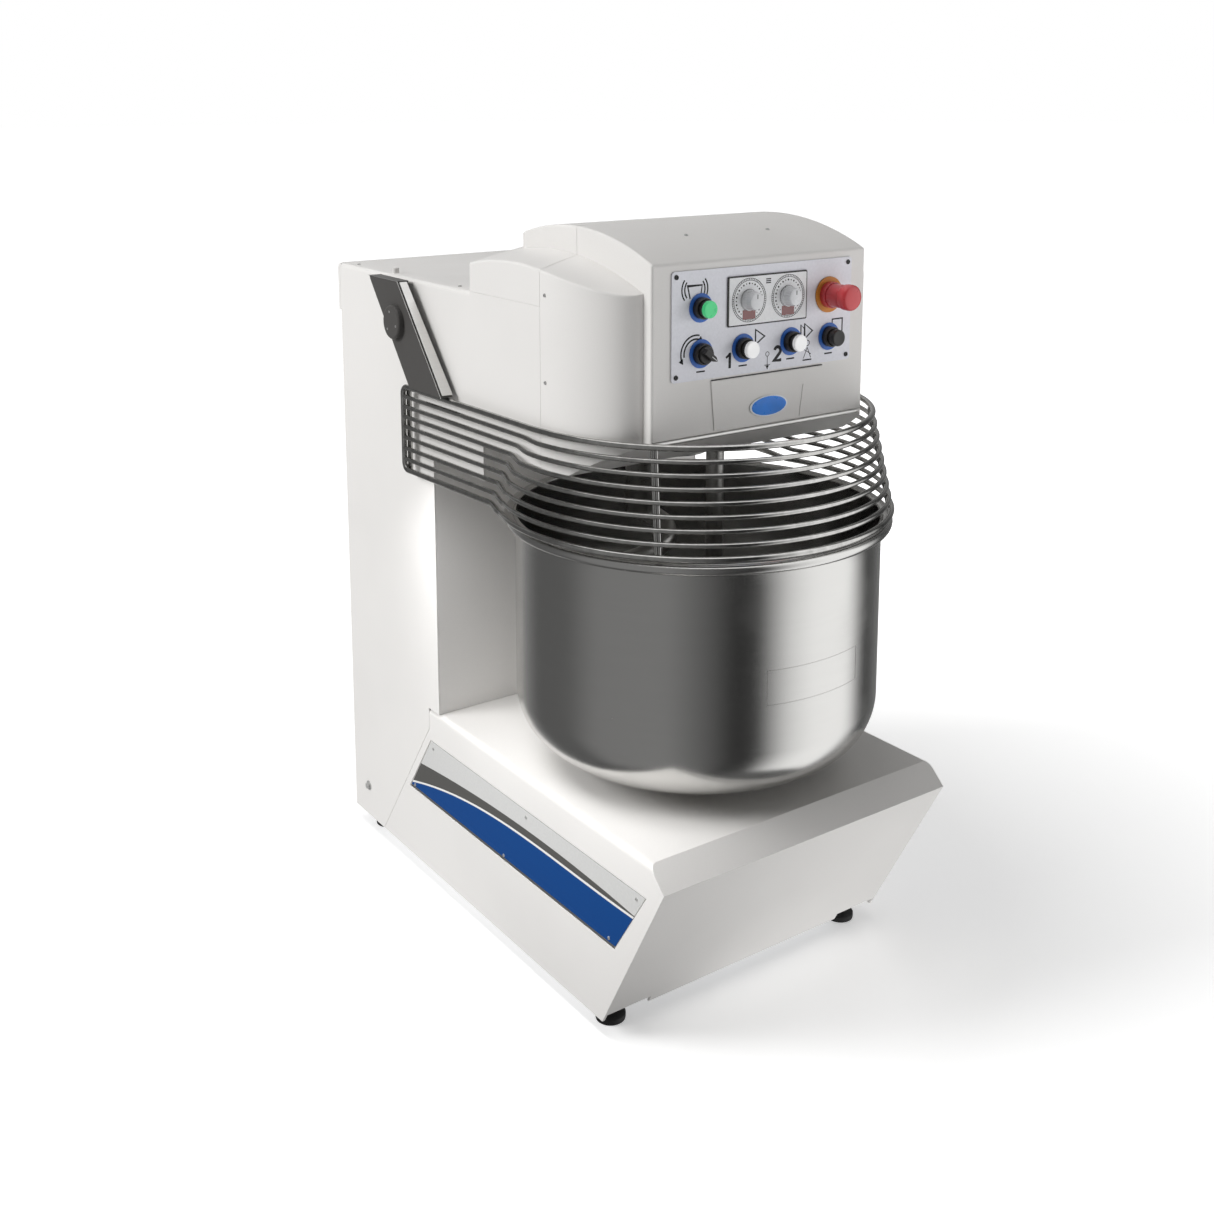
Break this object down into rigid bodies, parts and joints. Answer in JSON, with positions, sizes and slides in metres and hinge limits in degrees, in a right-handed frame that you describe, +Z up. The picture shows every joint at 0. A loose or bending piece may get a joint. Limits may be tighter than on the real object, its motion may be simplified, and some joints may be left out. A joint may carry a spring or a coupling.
{
  "type": "spiral dough mixer",
  "caption": "Floor-standing spiral dough mixer: driven steel bowl and spiral hook, breaker bar, lifting wire guard, head with push-button panel, on a wedge base and column.",
  "frame": {"origin": "on the floor, at the centre of the machine's bounding box in plan", "axes": "+Z up, +Y towards the back, +X towards the operator's right as the operator faces the machine"},
  "size_m": [0.686, 1.093, 1.2835],
  "materials": {
    "white_paint": "smooth satin powder coat",
    "dark_paint": "dark grey satin coat",
    "frame_paint": "primer grey",
    "satin_steel": "satin polished stainless steel",
    "bright_steel": "bright drawn stainless wire",
    "black_plastic": "moulded, satin",
    "black_rubber": "matt rubber",
    "cast_iron": "machined casting",
    "pulley_grey": "turned grey iron",
    "motor_paint": "motor enamel",
    "panel_grey": "printed overlay, satin",
    "bezel_black": "moulded, satin",
    "ring_blue": "moulded, semi gloss",
    "estop_orange": "moulded, satin",
    "estop_red": "moulded, gloss",
    "button_green": "moulded, gloss",
    "button_white": "moulded, gloss",
    "trim_blue": "printed plate, gloss",
    "badge_blue": "plain domed badge",
    "knob_grey": "moulded, pale grey, gloss"
  },
  "bodies": {
    "machine": {"base_cover": "white_paint", "base_frame": "frame_paint", "trim_plate_left": "trim_blue", "trim_plate_right": "trim_blue", "foot_front_left": "black_rubber", "foot_front_right": "black_rubber", "foot_rear_left": "black_rubber", "foot_rear_right": "black_rubber", "column_frame": "frame_paint", "column_side_left": "white_paint", "column_side_right": "white_paint", "column_front_panel": "white_paint", "column_rear_cover": "white_paint", "column_top_cover": "white_paint", "head_frame": "frame_paint", "head_front_cover": "white_paint", "head_rear_cover": "white_paint", "head_bottom_plate": "white_paint", "head_edge_trim": "bright_steel", "front_insert": "white_paint", "badge_plate": "badge_blue", "hook_bearing_cap": "satin_steel", "breaker_bar": "satin_steel", "spiral_bearing_housing": "cast_iron", "bowl_bearing_housing": "cast_iron", "spiral_motor": "motor_paint", "bowl_motor": "motor_paint", "spiral_belt": "black_rubber", "bowl_belt": "black_rubber", "electrical_box": "frame_paint", "cable_gland": "black_plastic", "control_panel": "panel_grey", "timer_bezel": "bezel_black", "estop_collar": "estop_orange", "jog_bezel": "ring_blue", "selector_bezel": "ring_blue", "speed_1_bezel": "ring_blue", "speed_2_bezel": "ring_blue", "stop_bezel": "ring_blue", "guard_pivot_left": "satin_steel", "guard_pivot_right": "satin_steel"},
    "bowl_assembly": {"bowl": "satin_steel", "bowl_shaft": "satin_steel", "bowl_pulley": "pulley_grey"},
    "spiral_assembly": {"spiral_hook": "satin_steel", "spiral_shaft": "satin_steel", "spiral_pulley": "pulley_grey"},
    "bowl_drive": {"bowl_motor_pulley": "pulley_grey"},
    "spiral_drive": {"spiral_motor_pulley": "pulley_grey"},
    "guard": {"guard_cage": "bright_steel", "guard_arm_left": "dark_paint", "guard_arm_right": "dark_paint"},
    "jog": {"jog_button": "button_green"},
    "speed_1": {"speed_1_button": "button_white"},
    "speed_2": {"speed_2_button": "button_white"},
    "stop": {"stop_button": "black_plastic"},
    "estop": {"estop_button": "estop_red"},
    "selector": {"selector_knob": "black_plastic"},
    "timer_left": {"timer_knob_left": "knob_grey"},
    "timer_right": {"timer_knob_right": "knob_grey"}
  },
  "joints": [
    {"name": "bowl_spin", "type": "hinge", "parent": "machine", "child": "bowl_assembly", "pos_m": [0, -0.218, 0.388], "axis": [0, 0, 1], "continuous": true},
    {"name": "spiral_spin", "type": "hinge", "parent": "machine", "child": "spiral_assembly", "pos_m": [0, -0.06, 0.742], "axis": [0, 0, 1], "continuous": true},
    {"name": "bowl_motor_spin", "type": "hinge", "parent": "machine", "child": "bowl_drive", "pos_m": [0, 0.33, 0.126], "axis": [0, 0, 1], "continuous": true},
    {"name": "spiral_motor_spin", "type": "hinge", "parent": "machine", "child": "spiral_drive", "pos_m": [0, 0.33, 1.108], "axis": [0, 0, 1], "continuous": true},
    {"name": "guard_lift", "type": "hinge", "parent": "machine", "child": "guard", "pos_m": [0, 0.2323, 1.0865], "axis": [-1, 0, 0], "range_deg": [0, 75]},
    {"name": "jog_press", "type": "slide", "parent": "machine", "child": "jog", "axis": [0, 1, 0], "range_m": [0, 0.004], "stiffness_N_per_m": 600, "springref_m": -0.002},
    {"name": "speed_1_press", "type": "slide", "parent": "machine", "child": "speed_1", "axis": [0, 1, 0], "range_m": [0, 0.004], "stiffness_N_per_m": 600, "springref_m": -0.002},
    {"name": "speed_2_press", "type": "slide", "parent": "machine", "child": "speed_2", "axis": [0, 1, 0], "range_m": [0, 0.004], "stiffness_N_per_m": 600, "springref_m": -0.002},
    {"name": "stop_press", "type": "slide", "parent": "machine", "child": "stop", "axis": [0, 1, 0], "range_m": [0, 0.004], "stiffness_N_per_m": 600, "springref_m": -0.002},
    {"name": "estop_press", "type": "slide", "parent": "machine", "child": "estop", "axis": [0, 1, 0], "range_m": [0, 0.005]},
    {"name": "selector_turn", "type": "hinge", "parent": "machine", "child": "selector", "pos_m": [-0.1275, -0.3826, 1.0976], "axis": [0, 1, 0], "range_deg": [-45, 45]},
    {"name": "timer_left_turn", "type": "hinge", "parent": "machine", "child": "timer_left", "pos_m": [-0.034, -0.3826, 1.173], "axis": [0, 1, 0], "range_deg": [0, 270]},
    {"name": "timer_right_turn", "type": "hinge", "parent": "machine", "child": "timer_right", "pos_m": [0.047, -0.3826, 1.173], "axis": [0, 1, 0], "range_deg": [0, 270]}
  ],
  "couplings": [
    {"joint": "bowl_motor_spin", "follows": "bowl_spin", "ratio": 3.75},
    {"joint": "spiral_motor_spin", "follows": "spiral_spin", "ratio": 3}
  ]
}
